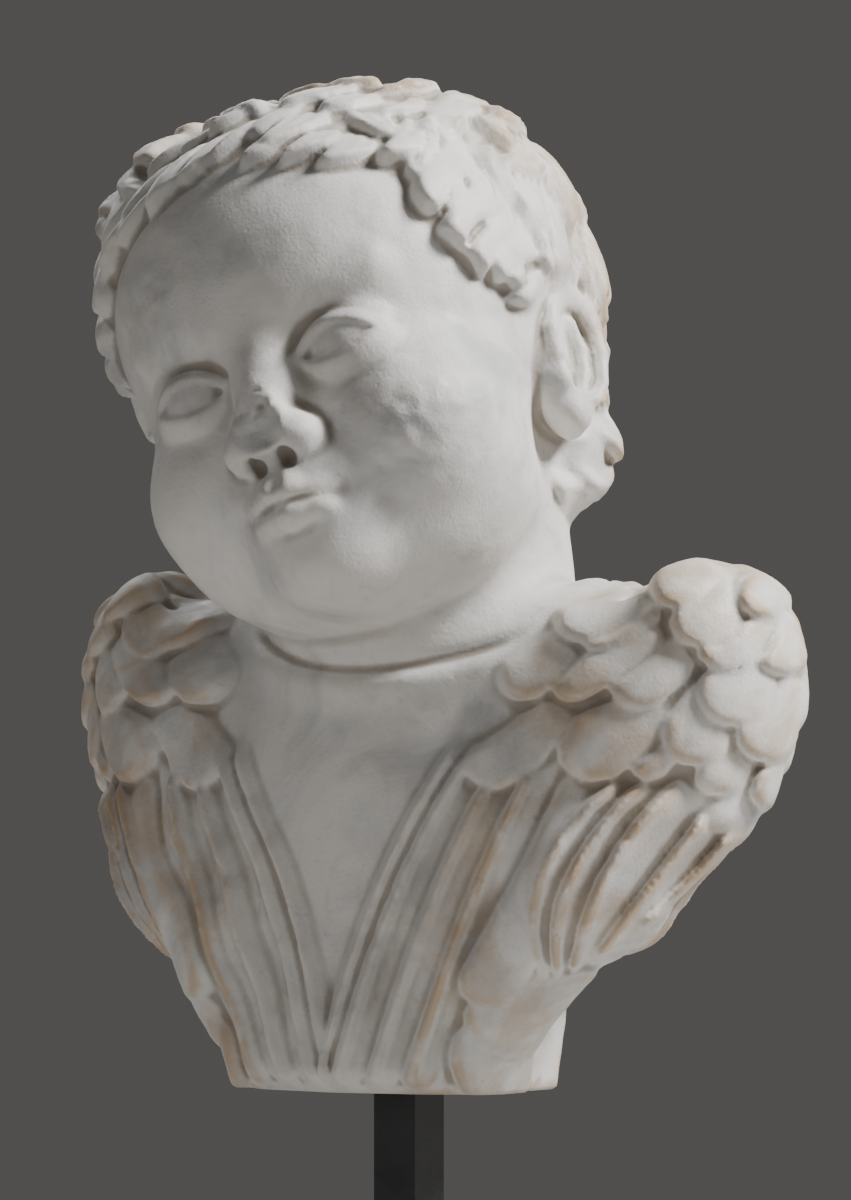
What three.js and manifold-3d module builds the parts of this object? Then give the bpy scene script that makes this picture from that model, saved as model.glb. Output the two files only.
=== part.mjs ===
// A winged putto carved as a bust in one block of white marble, on a square steel post with a foot plate.
// Millimetres, +Z up. The figure faces -Y and its own left side is +X. The origin lies on the axis of the
// post, in the underside of the foot plate.
import * as THREE from "three";
import { mergeVertices } from "three/addons/utils/BufferGeometryUtils.js";
import Module from "manifold-3d";

const wasm = await Module();
wasm.setup();

// Driving dimensions
const FIGURE_HEIGHT = 405;
const POST_WIDTH = 20;
const POST_LENGTH = 100;
const FOOT_WIDTH = 220;
const FOOT_THICKNESS = 10;
const FOOT_CORNER = 4;
const GAP = 0.3;

// The stone is drawn 405 high, with z = 0 in its flat underside, and scaled to FIGURE_HEIGHT at the end.
const DRAWN_HEIGHT = 405;
const FAR = 260;
const MARCH = 2;

const radians = THREE.MathUtils.degToRad;
const vector = (x, y, z) => new THREE.Vector3(x, y, z);
const bothSides = (make) => [1, -1].flatMap(make);

// The value a share t of the way along a short list
function along(list, t) {
  const at = t * (list.length - 1);
  const i = Math.min(Math.floor(at), list.length - 2);
  return list[i] + (list[i + 1] - list[i]) * (at - i);
}

// A repeatable number from -1 to 1 for the n-th carved form, so that no two are quite alike
function uneven(n) {
  const wave = Math.sin(n * 12.9898 + 4.1414) * 43758.5453;
  return (wave - Math.floor(wave)) * 2 - 1;
}

// Rounded forms as distances, negative inside

function ellipsoid(centre, radii, turn = 0) {
  const c = Math.cos(radians(turn));
  const s = Math.sin(radians(turn));
  return (p) => {
    const x = p.x - centre[0];
    const y = p.y - centre[1];
    const q = [c * x + s * y, -s * x + c * y, p.z - centre[2]];
    const k0 = Math.hypot(...q.map((v, i) => v / radii[i]));
    const k1 = Math.hypot(...q.map((v, i) => v / radii[i] ** 2));
    return (k0 * (k0 - 1)) / Math.max(k1, 1e-6);
  };
}

function capsule(from, to, startRadius, endRadius) {
  const start = vector(...from);
  const line = vector(...to).sub(start);
  return (p) => {
    const q = p.clone().sub(start);
    const t = THREE.MathUtils.clamp(q.dot(line) / line.lengthSq(), 0, 1);
    return q.addScaledVector(line, -t).length() - (startRadius + (endRadius - startRadius) * t);
  };
}

function blendMin(a, b, blend) {
  if (blend <= 0) return Math.min(a, b);
  const near = Math.max(blend - Math.abs(a - b), 0) / blend;
  return Math.min(a, b) - near * near * blend * 0.25;
}

const add = (form, blend = 0) => ({ form, blend, hollow: false });
const hollow = (form, blend = 0) => ({ form, blend, hollow: true });

// One surface from a list of forms that are blended on or hollowed out in turn
function surfaceOf(steps) {
  return (p) => steps.reduce((d, step) => {
    const own = step.form(p);
    return step.hollow ? -blendMin(-d, own, step.blend) : blendMin(d, own, step.blend);
  }, FAR);
}

// The first point of a surface met from a start in a direction, or null
function castOn(surface, start, direction, reach = FAR) {
  const at = (t) => start.clone().addScaledVector(direction, t);
  let outside = 0;
  for (let t = 0; t <= reach; t += MARCH) {
    if (surface(at(t)) < 0) {
      let inside = t;
      for (let i = 0; i < 8; i++) {
        const middle = (outside + inside) / 2;
        if (surface(at(middle)) < 0) inside = middle;
        else outside = middle;
      }
      return at(inside);
    }
    outside = t;
  }
  return null;
}

function normalAt(surface, p) {
  const step = 1.5;
  const slope = [vector(step, 0, 0), vector(0, step, 0), vector(0, 0, step)].map(
    (d) => surface(p.clone().add(d)) - surface(p.clone().sub(d)));
  return vector(...slope).normalize();
}

// A sphere of so many segments drawn in on to a surface from all sides of a centre. It can have its
// segments closer together at one angle round the centre and one angle down from the top.
function wrap(surface, centre, around, upright, dense = { angle: 0, amount: 0, fall: 90, rise: 0 }) {
  const geometry = merged(new THREE.SphereGeometry(1, around, upright));
  const place = geometry.attributes.position;
  const middle = radians(dense.fall);
  for (let i = 0; i < place.count; i++) {
    const turn = Math.atan2(-place.getZ(i), place.getX(i));
    const fall = Math.acos(THREE.MathUtils.clamp(place.getY(i), -1, 1));
    const a = turn - dense.amount * Math.sin(turn - radians(dense.angle));
    const b = fall - (dense.rise / 2) * (Math.sin(2 * (fall - middle)) + Math.sin(2 * middle));
    const out = vector(Math.sin(b) * Math.cos(a), Math.sin(b) * Math.sin(a), Math.cos(b));
    const p = castOn(surface, centre.clone().addScaledVector(out, FAR), out.clone().negate());
    place.setXYZ(i, p.x, p.y, p.z);
  }
  return solid(geometry);
}

// Closed geometry to a solid and back

function merged(geometry) {
  const bare = geometry.clone();
  bare.deleteAttribute("normal");
  bare.deleteAttribute("uv");
  return mergeVertices(bare, 1e-3);
}

function solid(geometry) {
  const closed = merged(geometry);
  return new wasm.Manifold(new wasm.Mesh({
    numProp: 3,
    vertProperties: new Float32Array(closed.attributes.position.array),
    triVerts: new Uint32Array(closed.index.array),
  }));
}

function geometryOf(points, triangles) {
  const geometry = new THREE.BufferGeometry();
  const places = points.flatMap((p) => [p.x, p.y, p.z]);
  geometry.setAttribute("position", new THREE.Float32BufferAttribute(places, 3));
  geometry.setIndex(triangles.flat());
  return geometry;
}

function surfaceGeometry(made) {
  const mesh = made.getMesh();
  const geometry = new THREE.BufferGeometry();
  geometry.setAttribute("position", new THREE.BufferAttribute(mesh.vertProperties, 3));
  geometry.setIndex(new THREE.BufferAttribute(mesh.triVerts, 1));
  return geometry;
}

// The outer skin of a joined solid: the small hollows left under a lock or a feather are stone too
function outerSkin(made) {
  let stone = made;
  let bodies = stone.decompose();
  while (bodies.length > 1) {
    const whole = bodies.reduce((largest, one) => (one.volume() > largest.volume() ? one : largest));
    stone = solid(surfaceGeometry(whole));
    bodies = stone.decompose();
  }
  return stone;
}

// A joined solid's surface with its shortest edges drawn together, which leaves no slivers where
// carved forms meet, and with points of it that only touch each other moved apart. Points in the flat
// underside stay in it.
const SHORTEST_EDGE = 2;
const TOUCHING = 0.02;
function cleaned(made) {
  const mesh = made.getMesh();
  const points = [];
  for (let i = 0; i < mesh.vertProperties.length; i += 3) {
    points.push(vector(...mesh.vertProperties.slice(i, i + 3)));
  }
  const triangles = [];
  for (let i = 0; i < mesh.triVerts.length; i += 3) triangles.push([...mesh.triVerts.slice(i, i + 3)]);
  const around = points.map(() => new Set());
  triangles.forEach((corners, t) => corners.forEach((v) => around[v].add(t)));
  const neighbours = (v) => new Set([...around[v]].flatMap((t) => triangles[t]).filter((w) => w !== v));
  const facing = (corners) => {
    const [a, b, c] = corners.map((v) => points[v]);
    return b.clone().sub(a).cross(c.clone().sub(a));
  };

  function drawTogether(a, b) {
    const shared = [...neighbours(a)].filter((v) => neighbours(b).has(v));
    if (shared.length !== 2) return false;
    const low = points[a].z < GAP || points[b].z < GAP;
    const meeting = low
      ? (points[a].z < points[b].z ? points[a] : points[b]).clone()
      : points[a].clone().add(points[b]).multiplyScalar(0.5);
    const changed = [...around[a], ...around[b]].filter(
      (t) => !(triangles[t].includes(a) && triangles[t].includes(b)));
    const before = changed.map((t) => facing(triangles[t]));
    const kept = [points[a], points[b]];
    points[a] = meeting;
    points[b] = meeting;
    const flips = changed.some((t, i) => facing(triangles[t]).dot(before[i]) <= 0.3 * before[i].lengthSq() ** 0.5
      * facing(triangles[t]).length());
    if (flips) {
      [points[a], points[b]] = kept;
      return false;
    }
    for (const t of [...around[b]]) {
      if (triangles[t].includes(a)) {
        triangles[t].forEach((v) => around[v].delete(t));
        triangles[t] = null;
      } else {
        triangles[t] = triangles[t].map((v) => (v === b ? a : v));
        around[a].add(t);
      }
    }
    around[b].clear();
    return true;
  }

  for (let limit = SHORTEST_EDGE / 8; limit <= SHORTEST_EDGE; limit *= 2) {
    triangles.forEach((corners, t) => {
      for (let i = 0; triangles[t] && i < 3; i++) {
        const [a, b] = [triangles[t][i], triangles[t][(i + 1) % 3]];
        if (points[a].distanceTo(points[b]) < limit) drawTogether(a, b);
      }
    });
  }
  const used = points.map((_, v) => around[v].size > 0);
  const together = new Map();
  points.forEach((p, v) => {
    if (!used[v]) return;
    const key = p.toArray().map((c) => Math.round(c / TOUCHING)).join();
    together.set(key, [...(together.get(key) ?? []), v]);
  });
  for (const touching of [...together.values()].filter((list) => list.length > 1)) {
    for (const v of touching) {
      const near = [...neighbours(v)].map((w) => points[w]);
      const middle = near.reduce((sum, p) => sum.add(p), vector(0, 0, 0)).divideScalar(near.length);
      points[v] = points[v].clone().lerp(middle, 0.15);
    }
  }
  const place = new Map();
  used.forEach((isUsed, v) => isUsed && place.set(v, place.size));
  const closed = geometryOf(
    points.filter((_, v) => used[v]),
    triangles.filter((corners) => corners).map((corners) => corners.map((v) => place.get(v))));
  return surfaceGeometry(outerSkin(solid(closed)));
}

// A closed bar through rings of points, each ring the same way round
function loft(rings) {
  const across = rings[0].length;
  const index = [];
  for (let i = 0; i < rings.length - 1; i++) {
    for (let j = 0; j < across; j++) {
      const a = i * across + j;
      const b = i * across + ((j + 1) % across);
      index.push(a, b, a + across, b, b + across, a + across);
    }
  }
  const last = (rings.length - 1) * across;
  for (let j = 1; j < across - 1; j++) {
    index.push(0, j + 1, j, last, last + j, last + j + 1);
  }
  return solid(geometryOf(rings.flat(), index));
}

// A carved strip on a surface. section lists [share of the half width, height] round the strip.
function strip(surface, points, halfWidths, section) {
  const rings = points.map((p, i) => {
    const before = points[Math.max(i - 1, 0)];
    const after = points[Math.min(i + 1, points.length - 1)];
    const run = after.clone().sub(before).normalize();
    const up = normalAt(surface, p);
    const side = up.clone().cross(run).normalize();
    const t = i / (points.length - 1);
    const half = along(halfWidths, t);
    return section(t).map(([w, h]) => p.clone().addScaledVector(side, w * half).addScaledVector(up, h));
  });
  return loft(rings);
}

// Head, in its own frame: x to its left, y to the back, z to the crown, brow at z = 0

const HEAD_AT = vector(-17, -14, 287.5);
const HEAD_YAW = 7;
const HEAD_PITCH = -7;
const HEAD_ROLL = -19;
const headMatrix = new THREE.Matrix4().makeRotationZ(radians(HEAD_YAW))
  .multiply(new THREE.Matrix4().makeRotationX(radians(HEAD_PITCH)))
  .multiply(new THREE.Matrix4().makeRotationY(radians(HEAD_ROLL)))
  .setPosition(HEAD_AT);
const EYE_X = 33;
const EYE_Z = -18;
const MOUTH_Z = -75;
const EAR_Z = -27;

const skull = [
  add(ellipsoid([1, 14, 27], [93, 103, 88])),
  ...bothSides((s) => [add(ellipsoid([s * 42, 18, 60], [47, 58, 41]), 22)]),
  add(ellipsoid([0, -30, 24], [73, 66, 58]), 20),
  add(ellipsoid([0, -22, -34], [73, 61, 62]), 24),
  ...bothSides((s) => [
    add(ellipsoid([s * 40, -43, -50], [36, 41, 35]), 16),
    add(ellipsoid([s * 34, -20, -72], [35, 46, 29]), 16),
  ]),
  add(ellipsoid([2, -26, -88], [52, 47, 26]), 12),
  add(ellipsoid([0, -62, -91], [25, 24, 21]), 12),
  add(ellipsoid([0, -66, -68], [32, 28, 24]), 12),
];

const eyes = bothSides((s) => [
  hollow(ellipsoid([s * EYE_X, -94, EYE_Z + 2], [22, 14, 15]), 14),
  add(capsule([s * 15, -83, 5], [s * 50, -73, 8], 6, 5), 12),
  add(ellipsoid([s * EYE_X, -69, EYE_Z], [20, 18, 18]), 2),
  add(capsule([s * 18, -83, EYE_Z + 1], [s * EYE_X, -87, EYE_Z + 10], 3, 3), 2),
  add(capsule([s * EYE_X, -87, EYE_Z + 10], [s * 50, -78, EYE_Z + 2], 3, 3), 2),
  add(capsule([s * 19, -82, EYE_Z - 4], [s * 48, -77, EYE_Z - 6], 3, 3), 4),
]);

const nose = [
  add(capsule([0, -82, -10], [0, -94, -43], 7.5, 9), 12),
  add(ellipsoid([0, -94, -46], [12, 10, 10.5]), 8),
  ...bothSides((s) => [add(ellipsoid([s * 12, -90, -50], [8.5, 11, 8.5]), 5)]),
];

const mouth = [
  add(ellipsoid([0, -92, MOUTH_Z + 5], [9, 8, 6]), 5),
  ...bothSides((s) => [
    add(capsule([s * 3, -92, MOUTH_Z + 4.5], [s * 19, -85, MOUTH_Z + 1.5], 5.6, 3.2), 4),
    add(capsule([0, -90, MOUTH_Z - 5.5], [s * 14, -86, MOUTH_Z - 3.5], 6, 4), 5),
    hollow(capsule([0, -99, MOUTH_Z], [s * 22, -87, MOUTH_Z], 2.4, 1.4), 3),
    hollow(ellipsoid([s * 24, -90, MOUTH_Z - 1], [4, 6, 5]), 8),
  ]),
  hollow(ellipsoid([0, -97, MOUTH_Z - 14], [14, 7, 4]), 10),
];

const headSurface = surfaceOf([...skull, ...eyes, ...nose, ...mouth]);
const skullSurface = surfaceOf(skull);

function ear(s) {
  const at = (back, up, out) => [s * (80 + out + 0.18 * (back + 10)), 18 + back, EAR_Z + up];
  const rim = [[-12, 2], [-12, 13], [-8, 24], [1, 29], [11, 27], [17, 18], [17, 5], [12, -8], [6, -17]];
  const pieces = [add(ellipsoid(at(2, 2, -6), [13, 20, 29]))];
  for (let i = 0; i < rim.length - 1; i++) {
    pieces.push(add(capsule(at(...rim[i], 4), at(...rim[i + 1], 4), 4.5, 4.5), 1.5));
  }
  pieces.push(add(ellipsoid(at(-1, -24, 1), [7, 9, 10]), 4));
  pieces.push(hollow(ellipsoid(at(1, 3, 9), [8, 9, 13]), 3));
  return wrap(surfaceOf(pieces), vector(...at(2, 0, -14)), 12, 10);
}

// Hair: short curled locks in rings round a whorl at the back of the crown

const HAIR_CENTRE = vector(0, 10, 20);
const WHORL = vector(0.08, 0.45, 0.9).normalize();
const TO_FRONT = vector(0, -1, 0).addScaledVector(WHORL, WHORL.y).normalize();
const TO_SIDE = WHORL.clone().cross(TO_FRONT);
const HAIR_RINGS = [[8, 5], [25, 9], [43, 14], [62, 17], [82, 18], [101, 17]];
const HAIRLINE = [87, 90, 99, 113, 124, 122, 118];
const LOCK_FALL = 27;
const LOCK_HALF_WIDTH = 9.5;
const LOCK_HEIGHT = 7;
const EAR_CLEARANCE = 30;

// The hairline's distance from the whorl in degrees, for a turn of 0 at the front and 180 at the nape
function hairline(turn) {
  const wrapped = Math.abs(THREE.MathUtils.euclideanModulo(turn + 180, 360) - 180);
  return along(HAIRLINE, wrapped / 180);
}

function hairPoint(fall, turn) {
  const ring = TO_FRONT.clone().multiplyScalar(Math.cos(radians(turn)))
    .addScaledVector(TO_SIDE, Math.sin(radians(turn)));
  const out = WHORL.clone().multiplyScalar(Math.cos(radians(fall)))
    .addScaledVector(ring, Math.sin(radians(fall)));
  return castOn(skullSurface, HAIR_CENTRE.clone().addScaledVector(out, FAR), out.negate());
}

function lockSection(height) {
  return (t) => {
    const rise = height * along([0.4, 1, 1, 0.75, 0.3], t);
    return [[-1, -2], [1, -2], [0.45, rise], [-0.45, rise]];
  };
}

function hair() {
  const locks = [];
  HAIR_RINGS.forEach(([fall, count], ring) => {
    for (let i = 0; i < count; i++) {
      const n = ring * 20 + i;
      const turn = ((i + 0.5 * (ring % 2)) * 360) / count + 4 * uneven(n);
      const limit = hairline(turn);
      if (fall > limit - 9) continue;
      const end = Math.min(fall + LOCK_FALL + 3 * uneven(n + 7), limit + 4);
      const sway = 8 * (uneven(n + 3) > 0 ? 1 : -1) * (0.8 + 0.3 * uneven(n + 5));
      const points = [0, 0.3, 0.6, 0.85, 1].map((t) => {
        const down = fall + (end - fall) * t;
        return hairPoint(down, turn + (sway * Math.sin(Math.PI * 1.5 * t)) / Math.sin(radians(down)));
      });
      const fromEar = Math.hypot(Math.abs(points[2].x) - 84, points[2].y - 18, points[2].z - EAR_Z);
      if (fromEar < EAR_CLEARANCE) continue;
      const half = LOCK_HALF_WIDTH * (1 + 0.12 * uneven(n + 9));
      const widths = [0.75, 1, 0.95, 0.6, 0.1].map((w) => w * half);
      const height = LOCK_HEIGHT * along([0.35, 0.8, 1], fall / 90);
      locks.push(strip(skullSurface, points, widths, lockSection(height)));
    }
  });
  return locks;
}

// Shoulders, chest and the mass of the two folded wings

const body = surfaceOf([
  add(ellipsoid([0, 6, 112], [104, 57, 90])),
  add(ellipsoid([0, -14, 20], [44, 40, 80]), 24),
  ...bothSides((s) => [add(ellipsoid([s * 70, 14, 158], [50, 38, 42]), 20)]),
  ...bothSides((s) => [
    add(ellipsoid([s * 134, 13, 167], [35, 25, 39], s * 55), 12),
    add(ellipsoid([s * 111, 11, 134], [45, 34, 48], s * 52), 16),
    add(ellipsoid([s * 81, -4, 90], [39, 36, 40]), 20),
    add(ellipsoid([s * 57, -21, 56], [32, 29, 36]), 18),
    add(ellipsoid([s * 35, -21, 14], [23, 26, 36]), 16),
  ]),
  add(capsule([0, 14, 172], vector(0, 20, -50).applyMatrix4(headMatrix).toArray(), 62, 63), 11),
]);

// A point drawn at (across, up) on an upright plane that faces azimuth, carried straight on to the body.
// Where the drawing runs past the body's outline, it is first pulled towards the figure's middle.
const MIDDLE = new THREE.Vector2(0, 110);
function drawnOn(side, azimuth, across, up) {
  const a = radians(azimuth);
  const direction = vector(-side * Math.sin(a), Math.cos(a), 0);
  const pull = MIDDLE.clone().sub(new THREE.Vector2(across, up)).normalize();
  for (let inward = 0; inward < 40; inward += 2) {
    const s = across + inward * pull.x;
    const start = vector(side * (s * Math.cos(a) + FAR * Math.sin(a)), s * Math.sin(a) - FAR * Math.cos(a),
      up + inward * pull.y);
    const p = castOn(body, start, direction, 2 * FAR);
    if (p) return p;
  }
  throw new Error("a feather runs off the body");
}

// Long feathers, drawn in fans. Each lies between two lines that run from starts by bows to ends, and has
// a high edge towards the chest and slopes down to a low one.
const FANS = [
  {
    azimuth: 35, high: 7.5, low: 2.5,
    starts: [[22, 141], [27, 138], [36, 136], [47, 134], [60, 132], [76, 130]],
    bows: [[-18, 90], [-8, 97], [7, 90], [22, 87], [31, 76], [40, 76]],
    ends: [[-37, 6], [-32, 2], [-18, 2], [-4, 2], [13, 2], [34, 12]],
  },
  {
    azimuth: 35, high: 9.5, low: 5,
    starts: [[84, 126], [92, 125], [104, 123], [115, 118], [124, 114], [129, 112]],
    bows: [[31, 88], [45, 84], [68, 97], [86, 82], [100, 82], [109, 90]],
    ends: [[53, 46], [57, 46], [62, 47], [68, 54], [78, 64], [87, 78]],
  },
  {
    azimuth: 95, high: 8, low: 4,
    starts: [[2, 128], [15, 128], [28, 127]],
    bows: [[-2, 104], [9, 103], [20, 105]],
    ends: [[-4, 86], [4, 85], [12, 88]],
  },
];
const FAN_STATIONS = [0, 0.3, 0.6, 0.85, 1];
const SUNK = 5;

function fan(side, { azimuth, high, low, starts, bows, ends }) {
  const count = starts.length - 1;
  const edges = starts.map((start, k) => {
    const course = new THREE.QuadraticBezierCurve(
      new THREE.Vector2(...start), new THREE.Vector2(...bows[k]), new THREE.Vector2(...ends[k]));
    return (reach, height) => {
      const { x, y } = course.getPoint(reach);
      const p = drawnOn(side, azimuth, x, y);
      return p.addScaledVector(normalAt(body, p), height);
    };
  });
  const rings = FAN_STATIONS.map((reach) => {
    const shorter = reach * 0.95;
    const ring = [edges[0](reach, -SUNK)];
    for (let i = 0; i < count; i++) {
      ring.push(edges[i](reach, high), edges[i + 1](shorter, low));
    }
    ring.push(edges[count](shorter, -SUNK));
    return side > 0 ? ring.reverse() : ring;
  });
  return loft(rings);
}

// Short round-ended feathers in rings round the point of each shoulder. fall is a ring's distance from
// that point and turn runs round it, from the chest by the front to the back, both in degrees.
const SHOULDER = vector(100, 6, 138);
const SHOULDER_REACH = 100;
const POINT = vector(0.5, 0.09, 0.86).normalize();
const TO_CHEST = vector(-0.819, -0.574, 0);
TO_CHEST.addScaledVector(POINT, -POINT.dot(TO_CHEST)).normalize();
const TO_FORWARD = POINT.clone().cross(TO_CHEST);
const COVERT_RINGS = [
  { fall: 2, from: -20, to: 260, count: 3 },
  { fall: 21, from: -5, to: 215, count: 5 },
  { fall: 40, from: 0, to: 200, count: 6 },
  { fall: 58, from: 5, to: 190, count: 7 },
  { fall: 76, from: 14, to: 66, count: 3 },
];
const COVERT_LENGTH = 27;
// Across one feather: [share of its width, share of its length, height]
const COVERT_TIP = [[0, 0.62, 3], [0.28, 0.94, 6.5], [0.72, 0.94, 6.5]];

function shoulderPoint(side, fall, turn, height) {
  const ring = TO_CHEST.clone().multiplyScalar(Math.cos(radians(turn)))
    .addScaledVector(TO_FORWARD, Math.sin(radians(turn)));
  const out = POINT.clone().multiplyScalar(Math.cos(radians(fall)))
    .addScaledVector(ring, Math.sin(radians(fall)));
  out.x *= side;
  const centre = vector(side * SHOULDER.x, SHOULDER.y, SHOULDER.z);
  const p = castOn(body, centre.addScaledVector(out, SHOULDER_REACH), out.negate());
  return p.addScaledVector(normalAt(body, p), height);
}

function covertRing(side, { fall, from, to, count }, ring) {
  const step = (to - from) / count;
  const stations = [];
  for (let i = 0; i < count; i++) {
    const length = COVERT_LENGTH * (1 + 0.1 * uneven(ring * 10 + i));
    for (const [across, reach, height] of COVERT_TIP) {
      stations.push([from + (i + across) * step, fall + reach * length, height]);
    }
  }
  stations.push([to, fall + COVERT_TIP[0][1] * COVERT_LENGTH, COVERT_TIP[0][2]]);
  return loft(stations.map(([turn, tip, height]) => {
    const section = [
      shoulderPoint(side, fall, turn, -SUNK),
      shoulderPoint(side, tip, turn, -SUNK),
      shoulderPoint(side, tip, turn, height),
      shoulderPoint(side, fall, turn, 1.5),
    ];
    return side > 0 ? section : section.reverse();
  }));
}

// The rough block left standing behind and below the feathers
const BLOCK_HEIGHT = 46;
function block() {
  const geometry = new THREE.CylinderGeometry(1, 0.9, BLOCK_HEIGHT + 20, 9);
  geometry.rotateX(Math.PI / 2);
  geometry.scale(64, 46, 1);
  geometry.translate(0, 8, BLOCK_HEIGHT / 2 - 10);
  return solid(geometry);
}

function bust() {
  const face = { angle: -90, amount: 0.5, fall: 102, rise: 0.4 };
  const onHead = [
    wrap(headSurface, vector(0, -10, -25), 38, 28, face),
    ...bothSides((s) => [ear(s)]),
    ...hair(),
  ].map((part) => part.transform(headMatrix.toArray()));
  const onBody = [
    wrap(body, vector(0, 8, 105), 28, 18),
    block(),
    ...bothSides((s) => FANS.map((one) => fan(s, one))),
    ...bothSides((s) => COVERT_RINGS.map((one, ring) => covertRing(s, one, ring))),
  ];
  const below = new THREE.BoxGeometry(2 * FAR, 2 * FAR, FAR);
  below.translate(0, 0, -FAR / 2);
  const joined = wasm.Manifold.union([...onHead, ...onBody]).subtract(solid(below));
  const geometry = cleaned(outerSkin(joined));
  const size = FIGURE_HEIGHT / DRAWN_HEIGHT;
  geometry.scale(size, size, size);
  return geometry;
}

function footPlate() {
  const edge = FOOT_WIDTH / 2;
  const outline = new THREE.Shape();
  outline.moveTo(-edge + FOOT_CORNER, -edge);
  outline.absarc(edge - FOOT_CORNER, -edge + FOOT_CORNER, FOOT_CORNER, -Math.PI / 2, 0);
  outline.absarc(edge - FOOT_CORNER, edge - FOOT_CORNER, FOOT_CORNER, 0, Math.PI / 2);
  outline.absarc(-edge + FOOT_CORNER, edge - FOOT_CORNER, FOOT_CORNER, Math.PI / 2, Math.PI);
  outline.absarc(-edge + FOOT_CORNER, -edge + FOOT_CORNER, FOOT_CORNER, Math.PI, 1.5 * Math.PI);
  return new THREE.ExtrudeGeometry(outline, { depth: FOOT_THICKNESS, bevelEnabled: false, curveSegments: 4 });
}

const marble = new THREE.MeshStandardMaterial({ color: 0xd9d5cd, roughness: 0.6, metalness: 0 });
const blackSteel = new THREE.MeshStandardMaterial({ color: 0x16161a, roughness: 0.5, metalness: 0 });

function piece(name, geometry, material, height) {
  const mesh = new THREE.Mesh(geometry, material);
  mesh.name = name;
  mesh.position.z = height;
  return mesh;
}

const postFrom = FOOT_THICKNESS + GAP;
const postTo = postFrom + POST_LENGTH;
const statue = new THREE.Group();
statue.add(
  piece("foot_plate", footPlate(), blackSteel, 0),
  piece("post", new THREE.BoxGeometry(POST_WIDTH, POST_WIDTH, POST_LENGTH), blackSteel, (postFrom + postTo) / 2),
  piece("marble_bust", bust(), marble, postTo + GAP),
);

export default statue;
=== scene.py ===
import math

import bpy
import numpy as np
import openvdb
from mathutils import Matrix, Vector


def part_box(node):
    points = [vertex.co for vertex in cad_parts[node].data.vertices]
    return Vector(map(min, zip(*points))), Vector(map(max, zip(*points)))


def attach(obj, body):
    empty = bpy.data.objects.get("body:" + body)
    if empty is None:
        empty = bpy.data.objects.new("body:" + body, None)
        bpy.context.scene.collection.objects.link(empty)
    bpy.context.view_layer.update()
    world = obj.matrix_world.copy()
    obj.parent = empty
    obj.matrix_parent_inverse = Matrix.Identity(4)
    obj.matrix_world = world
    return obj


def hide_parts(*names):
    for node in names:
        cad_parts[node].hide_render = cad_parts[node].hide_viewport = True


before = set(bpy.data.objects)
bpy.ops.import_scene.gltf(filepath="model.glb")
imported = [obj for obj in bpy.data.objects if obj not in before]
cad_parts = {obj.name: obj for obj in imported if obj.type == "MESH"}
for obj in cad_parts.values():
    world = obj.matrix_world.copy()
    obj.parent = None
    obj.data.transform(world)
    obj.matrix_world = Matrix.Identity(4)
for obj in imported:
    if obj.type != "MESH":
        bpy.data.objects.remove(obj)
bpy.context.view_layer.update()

bl_info = {
    "name": "Winged Putto Bust",
    "version": (1, 0, 0),
    "blender": (4, 5, 0),
    "location": "View3D > Sidebar > Putto",
    "description": "A carved marble bust of a winged putto on a square steel post",
    "category": "Add Mesh",
}

STONE_LOW, STONE_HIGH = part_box("marble_bust")
FLOOR_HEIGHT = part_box("foot_plate")[0][2]

# The stone is carved in millimetres with its flat underside at z = 0 and the post's axis at x = y = 0.
MM = 0.001
LATTICE_LOW = (-189.0, -142.8, -12.6)
LATTICE_HIGH = (189.0, 151.2, 424.2)
# Large masses are worked out on a lattice this many times coarser, then made fine.
COARSENESS = 3
# A distance that stands for nothing but air
FAR = 260.0
# How far from the surface a fine detail and a rounded form are worked out
NARROW_BAND, WIDE_BAND = 14, 40
# How far inside and outside the surface a relief is worked out
RELIEF_BELOW, RELIEF_ABOVE = 5, 14

# The photograph, in pixels: its size, the rows of the eye level and of the stone's base, the post's column
PHOTO_WIDTH, PHOTO_HEIGHT = 851, 1200
HORIZON_ROW, BASE_ROW, POST_COLUMN = 800, 1087, 409


# Small helpers

def linear(hex_colour):
    """An sRGB hex colour as linear red, green, blue and alpha."""
    parts = [int(hex_colour[i:i + 2], 16) / 255 for i in (1, 3, 5)]
    return [c / 12.92 if c <= 0.04045 else ((c + 0.055) / 1.055) ** 2.4 for c in parts] + [1.0]


def along(values, t):
    """The values of a short list at shares t of the way along it."""
    return np.interp(t, np.linspace(0, 1, len(values)), values)


def uneven(n):
    """A repeatable number from -1 to 1 for the n-th carved form."""
    wave = math.sin(n * 12.9898 + 4.1414) * 43758.5453
    return (wave - math.floor(wave)) * 2 - 1


def unit(v):
    """Vectors scaled to a length of 1."""
    v = np.asarray(v, float)
    return v / np.maximum(np.linalg.norm(v, axis=-1, keepdims=True), 1e-9)


def wrapped(degrees):
    """Angles from -180 to 180."""
    return (degrees + 180) % 360 - 180


def round_axis(v, axis, front, side):
    """For places v: angles down from an axis, turns round it from front to side, and distances."""
    radius = np.linalg.norm(v, axis=0)
    falls = np.degrees(np.arccos(np.clip(axis @ v / radius, -1, 1)))
    return falls, np.degrees(np.arctan2(side @ v, front @ v)), radius


def turned(yaw, pitch, roll):
    """The matrix that turns by roll about y, then pitch about x, then yaw about z, in degrees."""
    y, p, r = np.radians([yaw, pitch, roll])
    about_z = np.array([[np.cos(y), -np.sin(y), 0], [np.sin(y), np.cos(y), 0], [0, 0, 1]])
    about_x = np.array([[1, 0, 0], [0, np.cos(p), -np.sin(p)], [0, np.sin(p), np.cos(p)]])
    about_y = np.array([[np.cos(r), 0, np.sin(r)], [0, 1, 0], [-np.sin(r), 0, np.cos(r)]])
    return about_z @ about_x @ about_y


NOISE_CELLS = 48
NOISE_SHIFT = 24.37


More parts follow.
